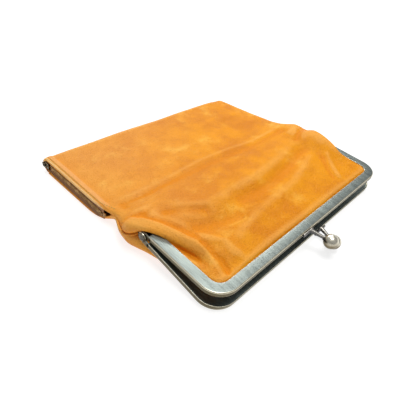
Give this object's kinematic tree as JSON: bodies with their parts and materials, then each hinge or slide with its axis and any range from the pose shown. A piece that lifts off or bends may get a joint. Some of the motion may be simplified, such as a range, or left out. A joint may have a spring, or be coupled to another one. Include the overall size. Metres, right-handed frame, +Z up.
{
  "type": "coin purse",
  "caption": "Flat leather coin purse with a U-shaped kiss-lock metal frame, a soft pouch and a side-zipped pocket behind it.",
  "frame": {"origin": "middle of the purse's footprint, on the surface it lies on", "axes": "+X along the frame's long side, -Y towards the clasp, +Z up from the surface"},
  "size_m": [0.1984, 0.2086, 0.0239],
  "materials": {
    "frame_metal": "brushed antique nickel, warm along worn edges",
    "leather": "smooth waxed cowhide, satin",
    "lining": "brown woven lining",
    "zipper_tape": "woven tape",
    "zipper_metal": "antique brass",
    "packing_cord": "twisted paper cord"
  },
  "bodies": {
    "purse_body": {"lower_frame_half": "frame_metal", "lower_packing_cord": "packing_cord", "left_hinge_rivet": "frame_metal", "right_hinge_rivet": "frame_metal", "lower_clasp_arm": "frame_metal", "lower_clasp_ball": "frame_metal", "bottom_leather": "leather", "top_leather": "leather", "back_fold_leather": "leather", "left_side_seam": "leather", "right_side_seam": "leather", "pocket_divider": "lining", "right_pocket_seam": "leather", "pouch_top_lining": "lining", "pouch_bottom_lining": "lining", "pocket_lining": "lining", "lower_zipper_tape": "zipper_tape", "upper_zipper_tape": "zipper_tape", "lower_zipper_teeth": "zipper_metal", "upper_zipper_teeth": "zipper_metal", "zipper_end_stop": "zipper_metal"},
    "upper_frame": {"upper_frame_half": "frame_metal", "upper_packing_cord": "packing_cord", "upper_clasp_arm": "frame_metal", "upper_clasp_ball": "frame_metal", "upper_mouth_leather": "leather", "upper_mouth_lining": "lining"},
    "zip_slider": {"zipper_slider": "zipper_metal"},
    "zip_pull": {"zipper_pull": "zipper_metal"}
  },
  "joints": [
    {"name": "frame_hinge", "type": "hinge", "parent": "purse_body", "child": "upper_frame", "pos_m": [0, -0.0213, 0.01639], "axis": [-1, 0, 0], "range_deg": [0, 70]},
    {"name": "zip_slide", "type": "slide", "parent": "purse_body", "child": "zip_slider", "axis": [0, -1, 0], "range_m": [0, 0.07]},
    {"name": "pull_swing", "type": "hinge", "parent": "zip_slider", "child": "zip_pull", "pos_m": [-0.09785, 0.09525, 0.006], "axis": [0, 0, 1], "range_deg": [0, 85]}
  ]
}
